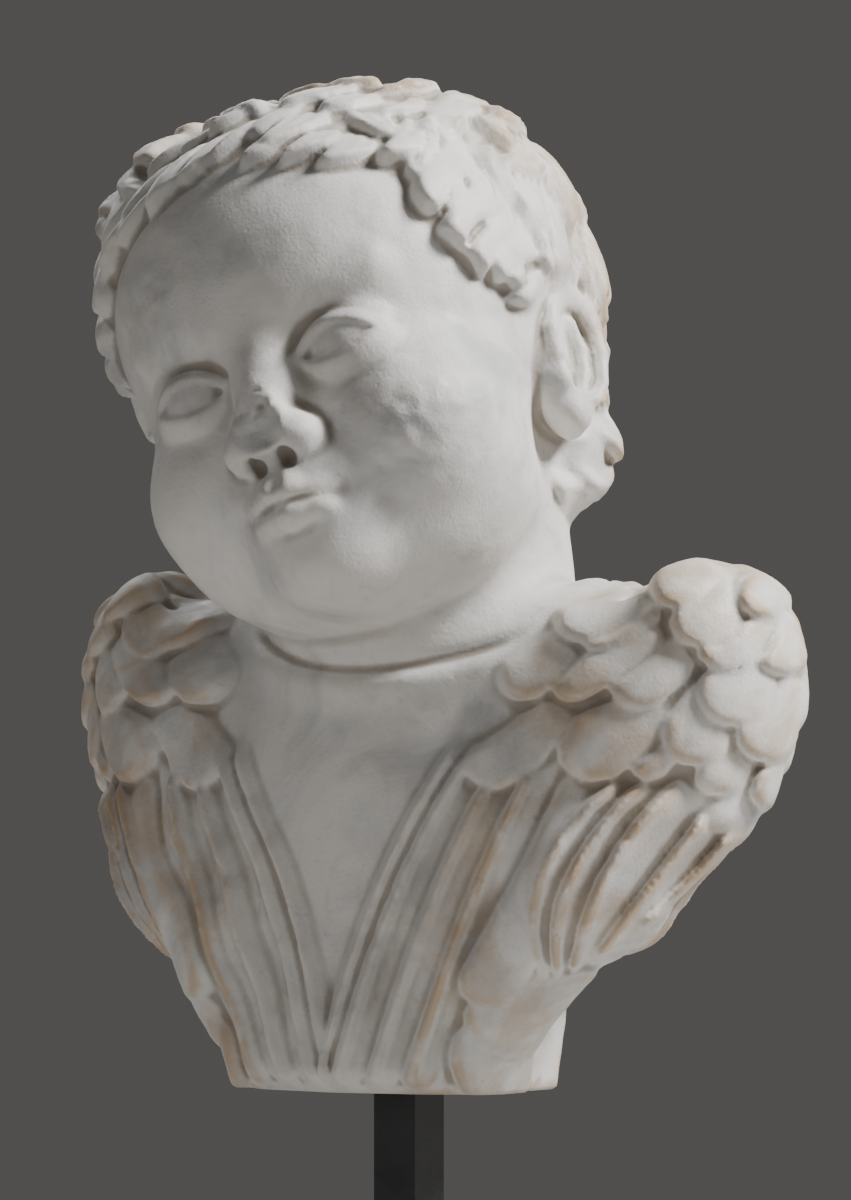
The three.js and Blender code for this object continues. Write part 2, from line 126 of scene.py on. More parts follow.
class Noise:
    """Smooth uneven values in space, with a fixed seed."""

    def __init__(self, size, seed):
        self.size = size
        self.grid = np.random.default_rng(seed).uniform(-1, 1, (NOISE_CELLS,) * 3)

    def __call__(self, p):
        place = p / self.size + NOISE_SHIFT
        i = np.floor(place).astype(int)
        u = place - i
        u = u * u * (3 - 2 * u)
        total = 0.0
        for corner in np.ndindex(2, 2, 2):
            weight = np.prod([u[..., k] if corner[k] else 1 - u[..., k] for k in range(3)], axis=0)
            j = (i + corner) % NOISE_CELLS
            total = total + weight * self.grid[j[..., 0], j[..., 1], j[..., 2]]
        return total


# Rounded forms: distances for an array of points, negative inside

def smooth_min(a, b, blend):
    """The lower of two distances, with a rounded join as wide as blend."""
    if blend <= 0:
        return np.minimum(a, b)
    near = np.maximum(blend - np.abs(a - b), 0) / blend
    return np.minimum(a, b) - near * near * blend * 0.25


def smooth_max(a, b, blend):
    """The higher of two distances, with a rounded join as wide as blend."""
    return -smooth_min(-a, -b, blend)


def ellipsoid(centre, radii, turn=0):
    """An ellipsoid with upright axis, turned about z."""
    c, s = math.cos(math.radians(turn)), math.sin(math.radians(turn))

    def distance(p):
        x, y, z = (p[i] - centre[i] for i in range(3))
        x, y = c * x + s * y, -s * x + c * y
        k0 = np.sqrt((x / radii[0]) ** 2 + (y / radii[1]) ** 2 + (z / radii[2]) ** 2)
        k1 = np.sqrt((x / radii[0] ** 2) ** 2 + (y / radii[1] ** 2) ** 2 + (z / radii[2] ** 2) ** 2)
        return k0 * (k0 - 1) / np.maximum(k1, 1e-6)
    return distance, centre, max(radii)


def capsule(start, end, start_radius, end_radius):
    """A round bar that may taper."""
    a, b = np.array(start, float), np.array(end, float)
    line = b - a

    def distance(p):
        q = [p[i] - a[i] for i in range(3)]
        t = np.clip(sum(q[i] * line[i] for i in range(3)) / (line @ line), 0, 1)
        gap = np.sqrt(sum((q[i] - t * line[i]) ** 2 for i in range(3)))
        return gap - (start_radius + (end_radius - start_radius) * t)
    return distance, (a + b) / 2, np.linalg.norm(line) / 2 + max(start_radius, end_radius)


class Stone:
    """A block of stone as distances on a lattice, in millimetres, negative inside."""

    def __init__(self, low, high, step):
        self.low, self.step = np.array(low, float), step
        self.count = [int(round((high[i] - low[i]) / step)) + 1 for i in range(3)]
        self.axes = [self.low[i] + step * np.arange(self.count[i]) for i in range(3)]
        self.d = np.full(self.count, FAR, np.float32)

    def mass(self, forms, places):
        """Joins large forms over the whole lattice, whose points lie at places."""
        for (distance, _, _), blend in forms:
            self.d = smooth_min(self.d, distance(places), blend).astype(np.float32)

    def finer(self, share):
        """The same stone on a lattice that many times finer, with smooth values in between."""
        fine = Stone(self.low, [a[-1] for a in self.axes], self.step / share)
        values = self.d.astype(np.float32)
        for axis in range(3):
            n, m = self.count[axis], fine.count[axis]
            place = np.arange(m) / share
            i = np.clip(place.astype(int), 0, n - 2)
            u = place - i
            weights = np.zeros((m, n), np.float32)
            shares = (0.5 * (-u + 2 * u ** 2 - u ** 3), 0.5 * (2 - 5 * u ** 2 + 3 * u ** 3),
                      0.5 * (u + 4 * u ** 2 - 3 * u ** 3), 0.5 * (u ** 3 - u ** 2))
            for shift, weight in enumerate(shares, -1):
                np.add.at(weights, (np.arange(m), np.clip(i + shift, 0, n - 1)), weight)
            values = np.moveaxis(np.tensordot(weights, values, (1, axis)), 0, axis)
        fine.d = np.ascontiguousarray(values, np.float32)
        return fine

    def copy(self):
        """A second stone like this one."""
        twin = Stone(self.low, [a[-1] for a in self.axes], self.step)
        twin.d = self.d.copy()
        return twin

    def part(self, low, high):
        """Slices of the lattice for a box."""
        return tuple(
            slice(int(np.clip(np.floor((low[i] - self.low[i]) / self.step), 0, self.count[i] - 1)),
                  int(np.clip(np.ceil((high[i] - self.low[i]) / self.step) + 1, 1, self.count[i])))
            for i in range(3))

    def shape(self, distance, low, high, blend, hollow=False, place=None, band=NARROW_BAND):
        """Joins a form, or hollows it out, inside a box and no farther than band from the surface."""
        box = self.part(low, high)
        values = self.d[box]
        near = np.nonzero(np.abs(values) < band)
        p = np.stack([self.axes[i][box[i]][near[i]] for i in range(3)])
        if place is not None:
            p = place[1].T @ (p - place[0][:, None])
        own = distance(p)
        old = values[near]
        values[near] = smooth_max(old, -own, blend) if hollow else smooth_min(old, own, blend)

    def form(self, form, blend, hollow=False):
        """Joins or hollows out a rounded form drawn in the head's frame."""
        distance, centre, radius = form
        self.shape(distance, *around(centre, radius + blend + 3), blend, hollow, HEAD, WIDE_BAND)

    def sample(self, points):
        """Distances at any points, shape (..., 3)."""
        place = (np.asarray(points, float) - self.low) / self.step
        i = np.clip(np.floor(place).astype(int), 0, np.array(self.count) - 2)
        u = np.clip(place - i, 0, 1)
        total = 0.0
        for corner in np.ndindex(2, 2, 2):
            weight = np.prod([u[..., k] if corner[k] else 1 - u[..., k] for k in range(3)], axis=0)
            x, y, z = (i[..., k] + corner[k] for k in range(3))
            total = total + weight * self.d[x, y, z]
        return total

    def normal(self, points, reach=2.0):
        """Directions straight out of the stone."""
        steps = np.eye(3) * reach
        return unit(np.stack([self.sample(points + s) - self.sample(points - s) for s in steps], -1))

    def relief(self, core, low, high, height):
        """Moves the surface out by a height, worked out for points near it and the core's normals there."""
        box = self.part(low, high)
        values = self.d[box]
        near = np.nonzero((values > -RELIEF_BELOW) & (values < RELIEF_ABOVE))
        points = np.stack([self.axes[i][box[i]][near[i]] for i in range(3)])
        normals = np.stack([g[near] for g in np.gradient(core.d[box], self.step)])
        normals /= np.linalg.norm(normals, axis=0) + 1e-6
        raised = np.zeros_like(values)
        raised[near] = height(points, normals)
        for axis in range(3):
            # Each value with a quarter of the difference to its neighbours, so steps are worn round
            line = np.moveaxis(raised, axis, 0)
            line[1:-1] += (line[:-2] + line[2:] - 2 * line[1:-1]) / 4
        values -= raised


# Shapes of the relief, in millimetres over drawn places

# How wide the side of a raised form is, and how round its rim
SOFT = 2.2
FEATHER_RIM = 2.6
LOCK_RIM = 3.8


def rising(x, width=SOFT):
    """From 0 to 1 as x passes 0, over a width."""
    u = np.clip(x / width + 0.5, 0, 1)
    return u * u * (3 - 2 * u)


def rounded_edge(inside, radius):
    """What a rounded edge takes off at a distance inside it."""
    gap = radius - np.clip(inside, 0, radius)
    return radius - np.sqrt(radius * radius - gap * gap)


def tongue(height, q, root, tip, half, top, bend=0.06):
    """Lays a round-ended feather over the heights at places q, from its root to its tip."""
    root, tip = np.array(root, float), np.array(tip, float)
    length = np.linalg.norm(tip - root)
    way = (tip - root) / length
    middle, reach = (root + tip) / 2, length / 2 + half * 1.2
    near = np.nonzero((np.abs(q[0] - middle[0]) < reach) & (np.abs(q[1] - middle[1]) < reach))[0]
    x, z = q[0][near] - root[0], q[1][near] - root[1]
    run = way[0] * x + way[1] * z
    t = np.clip(run / length, 0, 1)
    across = way[0] * z - way[1] * x - bend * length * np.sin(math.pi * t)
    width = half * along((0.8, 0.96, 1.05, 1), t)
    rim = np.hypot(across, np.maximum(run - length + half, 0))
    inside = np.minimum(width - rim, run + 1)
    own = top * along((0.4, 0.56, 0.8, 1), t) - 0.12 * top * (rim / width) ** 2
    own -= rounded_edge(inside, FEATHER_RIM)
    height[near] += (own - height[near]) * rising(inside) * np.clip(5 * t, 0, 1)


def feather_fan(height, q, fan, wear):
    """Lays long feathers side by side over the heights, each with a worn ridge on its edge to the chest."""
    x, z = q
    t = np.linspace(0, 1, 40)[:, None]
    lines = []
    for a, b, c in zip(*(np.array(fan[key], float) for key in ("starts", "bows", "ends"))):
        line = ((1 - t) ** 2 * a + 2 * t * (1 - t) * b + t ** 2 * c)[::-1]
        lines.append((np.interp(z, line[:, 1], line[:, 0]), a[1], c[1]))
    for k in range(len(lines) - 1):
        (left, start, end), (right, next_start, next_end) = lines[k], lines[k + 1]
        width = np.maximum(right - left, 1)
        u = np.clip((x - left) / width, 0, 1)
        below = start + (next_start - start) * u - z
        above = z - end - (next_end - end) * u - 0.45 * width * (1 - np.sqrt(1 - (2 * u - 1) ** 2))
        own = fan["high"] * along(fan["profile"], u) - rounded_edge(np.minimum(above, x - left), FEATHER_RIM)
        own = own + wear * along((1.3, 1, 0.2, 0.1, 0.1, 0.3), u)
        laid = rising(below - 5, 14) * rising(above) * rising(x - left) * rising(lines[-1][0] - x, 2 * SOFT)
        height += (own - height) * laid


# Head, in its own frame: x to its left, y to the back, z to the crown, brow at z = 0.
# Every form is a centre and radii, or two ends and two radii, with the width of its join.

HEAD_AT = np.array([-17.0, -14.0, 287.5])
HEAD_TURN = turned(7.0, -7.0, -19.0)
HEAD = (HEAD_AT, HEAD_TURN)
EYE_X, EYE_Z = 33.0, -18.0
# Width of the eye's opening, its rise above and below the corners, and its tilt in degrees
EYE_OPENING = (34, 8.5, 6.5, 3)
MOUTH_Z = -75.0
EAR_Z = -27.0

SKULL = [
    (ellipsoid((0, 17, 26), (91, 106, 87)), 0),
    (ellipsoid((-50, 14, 72), (45, 56, 46)), 22),
    (ellipsoid((37, 18, 56), (48, 58, 38)), 22),
    *[(ellipsoid((s * 46, 48, -40), (28, 28, 36)), 14) for s in (1, -1)],
    (ellipsoid((0, -30, 24), (73, 66, 58)), 20),
    (ellipsoid((0, -22, -34), (73, 61, 62)), 24),
    *[(ellipsoid((s * 40, -43, -50), (36, 41, 35)), 16) for s in (1, -1)],
    *[(ellipsoid((s * 34, -20, -72), (35, 46, 29)), 16) for s in (1, -1)],
    (ellipsoid((2, -26, -88), (52, 47, 26)), 12),
    (ellipsoid((0, -62, -91), (25, 24, 21)), 12),
    (ellipsoid((0, -66, -68), (32, 28, 24)), 12),
]

BODY = [
    (ellipsoid((0, 6, 112), (104, 57, 90)), 0),
    (ellipsoid((0, -14, 20), (44, 40, 80)), 24),
    *[(ellipsoid((s * 70, 14, 158), (50, 38, 42)), 20) for s in (1, -1)],
    *[form for s in (1, -1) for form in (
        (ellipsoid((s * 134, 13, 167), (35, 25, 39), s * 55), 12),
        (ellipsoid((s * 113, 8, 138), (46, 35, 46), s * 52), 16),
        (ellipsoid((s * 82, -7, 91), (41, 38, 39)), 20),
        (ellipsoid((s * 53, -22, 54), (27, 28, 33)), 18),
        (ellipsoid((s * 35, -21, 14), (23, 26, 36)), 16))],
    (capsule((0, 14, 172), HEAD_AT + HEAD_TURN @ np.array([0, 20, -50]), 62, 63), 11),
]


def around(centre, reach):
    """The corners of a box round a point in the head's frame."""
    at = HEAD_AT + HEAD_TURN @ np.array(centre, float)
    return at - reach, at + reach


def almond(p, x, z, width, above, below, tilt):
    """Distance to an eye opening, drawn flat on the front of the head."""
    c, s = math.cos(math.radians(tilt)), math.sin(math.radians(tilt))
    u, v = p[0] - x, p[2] - z
    u, v = c * u + s * v, -s * u + c * v
    half = width / 2
    upper = (half ** 2 + above ** 2) / (2 * above)
    lower = (half ** 2 + below ** 2) / (2 * below)
    return np.maximum(np.sqrt(u * u + (v - above + upper) ** 2) - upper,
                      np.sqrt(u * u + (v + below - lower) ** 2) - lower)


def eye_opening(p, s):
    """Distance to the opening of the eye on one side."""
    width, above, below, tilt = EYE_OPENING
    return almond(p, s * EYE_X, EYE_Z - 0.5, width, above, below, s * tilt)


def carve_eye(stone, s):
    """A socket, a brow, a blank eyeball and its lids on one side."""
    ball, centre, _ = ellipsoid((s * EYE_X, -68.5, EYE_Z), (19.5, 18, 18))
    lid, _, _ = ellipsoid(centre, (22, 20.3, 20.3))
    stone.form(ellipsoid((s * EYE_X, -95, EYE_Z + 1), (22, 14, 15)), 14, hollow=True)
    stone.form(capsule((s * 17, -84, 6), (s * 50, -73, 9), 5, 4.5), 12)
    stone.form((ball, centre, 20), 2)

    def lids(p):
        return smooth_max(lid(p), -eye_opening(p, s), 1.6)
    stone.form((lids, centre, 23), 4)


def carve_nose(stone):
    """The bridge, wings and nostrils, with the tip broken off flat and rough."""
    stone.form(capsule((0, -74, 2), (0, -96, -43), 8, 9.5), 16)
    stone.form(ellipsoid((0, -96, -46), (11.5, 12, 10.5)), 8)
    for s in (1, -1):
        stone.form(ellipsoid((s * 12.5, -90, -50), (8, 10.5, 8)), 5)
        stone.form(ellipsoid((s * 6.5, -95, -58), (3.6, 6, 4.5)), 2, hollow=True)
    rough = Noise(5.0, 11)

    def broken(p):
        """Distance to the rough slanting face where the tip broke off."""
        return p[1] + 101.5 - 0.2 * (p[2] + 46) + 1.8 * rough(p.T)
    stone.shape(broken, *around((0, -108, -50), 18), 1.0, hollow=True, place=HEAD)


def carve_mouth(stone):
    """Closed lips in a small calm bow."""
    stone.form(ellipsoid((0, -92, MOUTH_Z + 5), (9, 8, 6)), 5)
    for s in (1, -1):
        stone.form(capsule((s * 3, -92, MOUTH_Z + 4.5), (s * 19, -85, MOUTH_Z + 1.5), 5.6, 3.2), 4)
        stone.form(capsule((0, -90, MOUTH_Z - 5.5), (s * 14, -86, MOUTH_Z - 3.5), 6, 4), 5)
    for s in (1, -1):
        stone.form(capsule((0, -99, MOUTH_Z - 0.6), (s * 22, -87, MOUTH_Z - 0.6), 1.8, 1.0), 3, hollow=True)
        stone.form(ellipsoid((s * 24, -90, MOUTH_Z - 1), (4, 6, 5)), 8, hollow=True)
    stone.form(capsule((0, -99, MOUTH_Z + 15), (0, -100, MOUTH_Z + 8), 2.6, 3.0), 4, hollow=True)
    stone.form(ellipsoid((0, -97, MOUTH_Z - 14), (14, 7, 4)), 10, hollow=True)


def carve_ear(stone, s):
    """A rounded ear: a filled back, the rim, the inner fold, the bowl and the lobe."""
    def at(back, up, out):
        """A place on the ear, from its middle."""
        return np.array([s * (80 + out + 0.18 * (back + 10)), 18 + back, EAR_Z + up])
    rim = [(-12, 2), (-12, 13), (-8, 23), (1, 28), (11, 26), (17, 17), (17, 5), (12, -7), (5, -14)]
    fold = [(-4, 20), (5, 18), (9, 8), (7, -3), (0, -11)]
    stone.form(ellipsoid(at(2, 2, -6), (13, 20, 29)), 4)
    for i in range(len(rim) - 1):
        stone.form(capsule(at(*rim[i], 4), at(*rim[i + 1], 4), 4.2, 4.2), 1.5)
    stone.form(ellipsoid(at(-2, -19, 0), (6, 8, 8)), 4)
    stone.form(ellipsoid(at(1, 3, 9), (8, 11, 17)), 3, hollow=True)
    for i in range(len(fold) - 1):
        stone.form(capsule(at(*fold[i], 2), at(*fold[i + 1], 2), 2.6, 2.6), 2)
    stone.form(ellipsoid(at(-3, -3, 5), (6, 6, 8)), 2, hollow=True)
    stone.form(ellipsoid(at(-12, -7, 3), (5, 4, 6)), 3)


# Hair: short curled locks in rings round a whorl at the back of the crown, angles in degrees

HAIR_CENTRE = np.array([0.0, 10.0, 20.0])
WHORL = unit([0.08, 0.45, 0.9])
TO_FRONT = unit(np.array([0, -1, 0]) + WHORL * WHORL[1])
TO_SIDE = np.cross(WHORL, TO_FRONT)
# Rings of locks: angle down from the whorl where they begin, how many
HAIR_RINGS = ((8, 6), (19, 11), (31, 17), (43, 22), (55, 27), (67, 30),
              (79, 32), (91, 33), (103, 32), (115, 30), (126, 28))
# Where the hair ends, as angles down from the whorl at turns from 0 at the front to 180 at the nape
HAIRLINE = (86, 89, 98, 110, 121, 127, 130)
HAIR_REACH = 130
LOCK_FALL = 22.0
LOCK_HALF_WIDTH = 9.2
LOCK_SWAY = 12
STRAND_DEPTH = 1.5
# How thick the hair lies between the locks
CAP = 1.8
EAR_CLEARANCE = 30.5
# No hair below this height, which is where the shoulders are
NAPE_HEIGHT = 236
# Long locks at the temples: turn and angles down from the whorl where they begin and end
TEMPLE_LOCKS = ((50, 70, 101), (58, 76, 108), (66, 78, 113), (73, 84, 108))


def hairline(turn):
    """How far from the whorl the hair reaches, for a turn of 0 at the front and 180 at the nape."""
    return along(HAIRLINE, np.abs(wrapped(turn)) / 180)


def lock(height, polar, fall, end, turn, half, top, curve, strands=3):
    """Lays a combed lock over the heights; curve says how far it strays aside along its length."""
    falls, turns, radius = polar
    mm_per_degree = math.radians(1) * radius
    aside = wrapped(turns - turn) * np.sin(np.radians(falls)) * mm_per_degree
    near = np.nonzero((falls > fall - 2) & (falls < end + 2) & (np.abs(aside) < 3 * half + 14))[0]
    run, length = (falls[near] - fall) * mm_per_degree[near], (end - fall) * mm_per_degree[near]
    t = np.clip(run / length, 0, 1)
    across = aside[near] - curve(t)
    width = half * along((0.45, 0.8, 1, 1, 0.92, 0.78, 0.6), t)
    rim = np.hypot(across, np.maximum(run - length + 0.6 * half, 0))
    inside = np.minimum(width - rim, run + 1)
    u = across / width
    own = top * along((0.2, 0.45, 0.72, 0.92, 1), t) - rounded_edge(inside, LOCK_RIM)
    groove = (1 - np.abs(np.sin(0.5 * math.pi * strands * (u + 1)))) ** 2
    own -= STRAND_DEPTH * groove * rising(inside - 1.5, 2)
    height[near] += (own - height[near]) * rising(inside) * np.clip(4 * t, 0, 1)


def carve_hair(stone, core):
    """Locks in rings round the whorl, each a comma that curls to one side, over a thin cap of hair.

    The lowest ring is laid first and each higher one over it; the ears and the nape are kept clear.
    """
    fuzz = Noise(7.0, 21)

    def height(p, _):
        local = HEAD_TURN.T @ (p - HEAD_AT[:, None])
        falls, turns, radius = round_axis(local - HAIR_CENTRE[:, None], WHORL, TO_FRONT, TO_SIDE)
        result = np.zeros(p.shape[1])
        hairy = np.nonzero((falls < hairline(turns) + 9) & (radius < HAIR_REACH))[0]
        polar = falls[hairy], turns[hairy], radius[hairy]
        own = (CAP + 0.5 * fuzz(p.T[hairy])) * rising(hairline(polar[1]) - 3 - polar[0], 5)
        for ring, (fall, count) in reversed(list(enumerate(HAIR_RINGS))):
            for i in range(count):
                number = ring * 37 + i
                turn = (i + 0.5 * (ring % 2)) * 360 / count + 4.5 * uneven(number)
                limit = hairline(turn)
                if fall > limit - 8:
                    continue
                end = min(fall + LOCK_FALL * (1 + 0.28 * uneven(number + 7)), limit + 5)
                side = 1 if math.sin(math.radians(turn * 2 + fall * 4) + uneven(number + 3)) > 0 else -1
                sway = side * LOCK_SWAY * (1 + 0.4 * uneven(number + 5))
                top = along((4.5, 7.5, 8.5, 8.5), fall / 90) * (1 + 0.2 * uneven(number + 11))
                half = LOCK_HALF_WIDTH * (1 + 0.28 * uneven(number + 9))
                lock(own, polar, fall, end, turn, half, top,
                     lambda t, sway=sway: sway * (t ** 2.2 - 0.35 * np.sin(math.pi * t)))
        for side in (1, -1):
            for k, (turn, fall, end) in enumerate(TEMPLE_LOCKS):
                lock(own, polar, fall, end, side * turn, 8.5, 9.5 - 0.6 * k,
                     lambda t, side=side: side * 6 * np.sin(math.tau * (t - 0.1)), strands=4)
        for side in (1, -1):
            ear = np.array([side * 84, 18, EAR_Z])
            gap = np.linalg.norm(local[:, hairy] - ear[:, None], axis=0)
            own = own * rising(gap - EAR_CLEARANCE - 3, 16)
        result[hairy] = own * rising(p[2][hairy] - NAPE_HEIGHT, 24)
        return result
    stone.relief(core, HEAD_AT - 135, HEAD_AT + 135, height)


# Wings

# Long feathers lie between lines that run from starts by bows to ends, seen from azimuth, in millimetres.
FANS = (
    {"azimuth": 35, "high": 8.5, "profile": (0.9, 1, 0.7, 0.5, 0.42, 0.38, 0.32, 0.2),
     "starts": ((20, 141), (27, 138), (37, 136), (49, 134), (62, 132)),
     "bows": ((-18, 90), (-8, 97), (7, 90), (22, 87), (31, 76)),
     "ends": ((-37, 6), (-32, 2), (-18, 2), (-4, 2), (13, 2))},
    {"azimuth": 35, "high": 11.5, "profile": (0.9, 1, 0.76, 0.64, 0.58, 0.54, 0.48, 0.4),
     "starts": ((84, 126), (92, 125), (104, 123), (118, 116), (130, 110), (141, 106)),
     "bows": ((31, 88), (45, 84), (68, 97), (89, 80), (106, 80), (124, 86)),
     "ends": ((53, 46), (57, 46), (62, 47), (70, 52), (84, 62), (102, 74))},
    {"azimuth": 100, "high": 8.5, "profile": (0.9, 1, 0.7, 0.56, 0.5, 0.46, 0.4, 0.3),
     "starts": ((-34, 124), (-20, 127), (-4, 128), (12, 128), (28, 127), (44, 124), (56, 120)),
     "bows": ((-34, 92), (-20, 88), (-6, 84), (8, 84), (22, 86), (34, 92), (44, 98)),
     "ends": ((-30, 70), (-20, 60), (-8, 54), (2, 52), (10, 56), (18, 64), (26, 74))},
)
# Single feathers seen from azimuth 35: root, tip, half width and how high the tip stands.
TONGUES = (
    ((84, 70), (22, 1), 18, 6.0), ((84, 92), (27, 19), 16, 7.5), ((74, 134), (26, 35), 11, 9.0),
    ((131, 122), (117, 103), 8, 6.0), ((156, 144), (137, 111), 10, 6.5), ((131, 141), (113, 119), 9, 6.5),
    ((113, 160), (87, 124), 7, 6.0), ((104, 158), (60, 128), 12, 6.5), ((62, 156), (24, 123), 9, 6.0),
    ((120, 162), (104, 129), 12, 7.0), ((153, 168), (132, 131), 12.5, 7.0), ((136, 178), (118, 145), 13, 7.5),
    ((112, 178), (78, 155), 9, 6.5), ((101, 186), (56, 157), 7.5, 7.0), ((67, 182), (37, 157), 8.5, 6.5),
    ((153, 190), (138, 165), 10.5, 7.0), ((140, 192), (113, 168), 10, 7.5), ((101, 194), (66, 176), 5, 7.0),
    ((94, 201), (58, 181), 7.5, 7.5), ((130, 199), (103, 178), 10, 7.5), ((148, 206), (130, 188), 9, 7.5),
    ((120, 210), (95, 193), 9, 7.5),
)
# The first few lie under the second fan.
LOWEST_TONGUES = 3
TONGUE_WIDENING = 1.1
TONGUE_RAISE = 2.0
# The middle of the shoulder, the way its point looks, and the ways round that point
SHOULDER = np.array([100.0, 6.0, 138.0])
POINT = unit([0.5, 0.09, 0.86])
TO_CHEST = unit(np.array([-0.819, -0.574, 0]) + POINT * (0.819 * POINT[0] + 0.574 * POINT[1]))
TO_FORWARD = np.cross(POINT, TO_CHEST)
# Rings of short feathers where the shoulder turns away: angle down from its point, turns, how many
COVERT_RINGS = ((2, 0, 360, 3), (16, 20, 340, 7), (31, 20, 340, 11),
                (47, 20, 340, 14), (63, 25, 335, 15), (78, 40, 320, 14))
COVERT_LENGTH = 24.0
COVERT_OVERLAP = 6
COVERT_HALF_WIDTH, COVERT_TOP = 11.5, 7.5


def carve_wing(stone, core, side):
    """Layers of feathers: long ones in fans, round-ended ones above them, short ones round the shoulder."""
    chips = Noise(8.0, 31 + side)

    def height(p, n):
        x = p[0] * side
        worn = -rising(chips(p.T) - 0.45, 0.8)

        def seen_from(azimuth):
            """Places across and up as seen from an azimuth, and how far the stone faces that way."""
            a = math.radians(azimuth)
            facing = n[0] * side * math.sin(a) - n[1] * math.cos(a)
            return np.stack([x * math.cos(a) + p[1] * math.sin(a), p[2]]), facing

        q, facing = seen_from(FANS[0]["azimuth"])
        front = rising(facing - 0.18, 0.26)
        shown = np.zeros(p.shape[1])
        feather_fan(shown, q, FANS[0], worn)
        for number, (root, tip, half, top) in enumerate(TONGUES):
            if number == LOWEST_TONGUES:
                feather_fan(shown, q, FANS[1], worn)
            bend = 0.06 * (1 + 0.5 * uneven(number))
            tongue(shown, q, root, tip, half * TONGUE_WIDENING, top + TONGUE_RAISE, bend)
        q, facing = seen_from(FANS[2]["azimuth"])
        rest = np.zeros(p.shape[1])
        feather_fan(rest, q, FANS[2], worn)
        rest *= rising(facing - 0.15, 0.3)
        from_shoulder = np.stack([x, p[1], p[2]]) - SHOULDER[:, None]
        falls, turns, radius = round_axis(from_shoulder, POINT, TO_CHEST, TO_FORWARD)
        mm_per_degree = math.radians(1) * radius
        for ring, (fall, first, last, count) in reversed(list(enumerate(COVERT_RINGS))):
            for i in range(count):
                number = ring * 20 + i
                turn = first + (last - first) * (i + 0.5 + 0.5 * (ring % 2)) / count + 3 * uneven(number)
                aside = wrapped(turns - turn) * np.sin(np.radians(falls)) * mm_per_degree
                place = np.stack([aside, -(falls - fall) * mm_per_degree])
                length = COVERT_LENGTH * (1 + 0.12 * uneven(number + 3)) + COVERT_OVERLAP
                tip = (3 * uneven(number + 1), -length)
                tongue(rest, place, (0, 0), tip, COVERT_HALF_WIDTH, COVERT_TOP)
        # Short feathers start farther out at the height of the neck.
        neck = 34 + 44 * rising(p[2] - 180, 50)
        return shown * front + rest * (1 - front) * rising(x - neck, 24)
    corners = np.array([(0, -90, 0), (189, 110, 222)]) * (side, 1, 1)
    stone.relief(core, *np.sort(corners, axis=0), height)


BLOCK_HEIGHT = 46.0
BLOCK_SIDES = 9
BLOCK_HALF_WIDTH, BLOCK_HALF_DEPTH = 64, 46


def carve_block(stone):
    """The rough block left standing behind and below the feathers."""
    def distance(p):
        widening = 1 - 0.1 * (BLOCK_HEIGHT - p[2]) / BLOCK_HEIGHT
        x, y = p[0] / BLOCK_HALF_WIDTH, (p[1] - 8) / BLOCK_HALF_DEPTH
        faces = [(x * math.cos(a) + y * math.sin(a)) / widening
                 for a in np.arange(BLOCK_SIDES) * math.tau / BLOCK_SIDES]
        # As shares of the half width less 0.97, turned into millimetres by a mean half width
        across = (np.max(faces, axis=0) - 0.97) * 52
        return np.maximum(across, p[2] - BLOCK_HEIGHT)
    stone.shape(distance, np.array([-75, -50, -10]), np.array([75, 65, 60]), 6, band=WIDE_BAND)


# Worn spots on the cheek and the brow: x and z in the head's frame, how wide, how deep
WORN_SPOTS = ((50, -60, 19, 1.2), (-36, 32, 19, 1.2))
# The crease over an eyelid: how far it lies from the eye's opening, how wide, how deep
CREASE_AWAY, CREASE_WIDTH, CREASE_DEPTH = 4.6, 1.6, 1.4


def carve_damage(stone, core):
    """Rough worn spots on one cheek and on the brow, and the creases over the eyelids."""
    grit = Noise(4.2, 8)

    def height(p, _):
        local = HEAD_TURN.T @ (p - HEAD_AT[:, None])
        total = np.zeros(p.shape[1])
        for x, z, width, depth in WORN_SPOTS:
            near = np.exp(-((local[0] - x) ** 2 + (local[2] - z) ** 2) / width ** 2) * (local[1] < -20)
            total -= depth * near * rising(grit(p.T) - 0.1, 0.9)
        for s in (1, -1):
            lid = eye_opening(local, s)
            over = rising(local[2] - EYE_Z - 2, 6) * (local[1] < -50)
            total -= CREASE_DEPTH * over * np.exp(-((lid - CREASE_AWAY) / CREASE_WIDTH) ** 2)
        return total
    stone.relief(core, HEAD_AT - 120, HEAD_AT + 120, height)


def carve_neck(stone, core):
    """The soft fold that runs round the front of the neck."""
    def height(p, _):
        """A soft swelling under a narrow groove that rises to both sides."""
        rise = p[2] - 166 - 0.0035 * (p[0] - 8) ** 2
        front = rising(-p[1] - 15, 30) * rising(62 - np.abs(p[0] - 4), 24)
        return front * (2.4 * np.exp(-((rise + 7) / 8) ** 2) - 3.0 * np.exp(-(rise / 3.2) ** 2))
    stone.relief(core, (-90, -90, 130), (90, 40, 215), height)


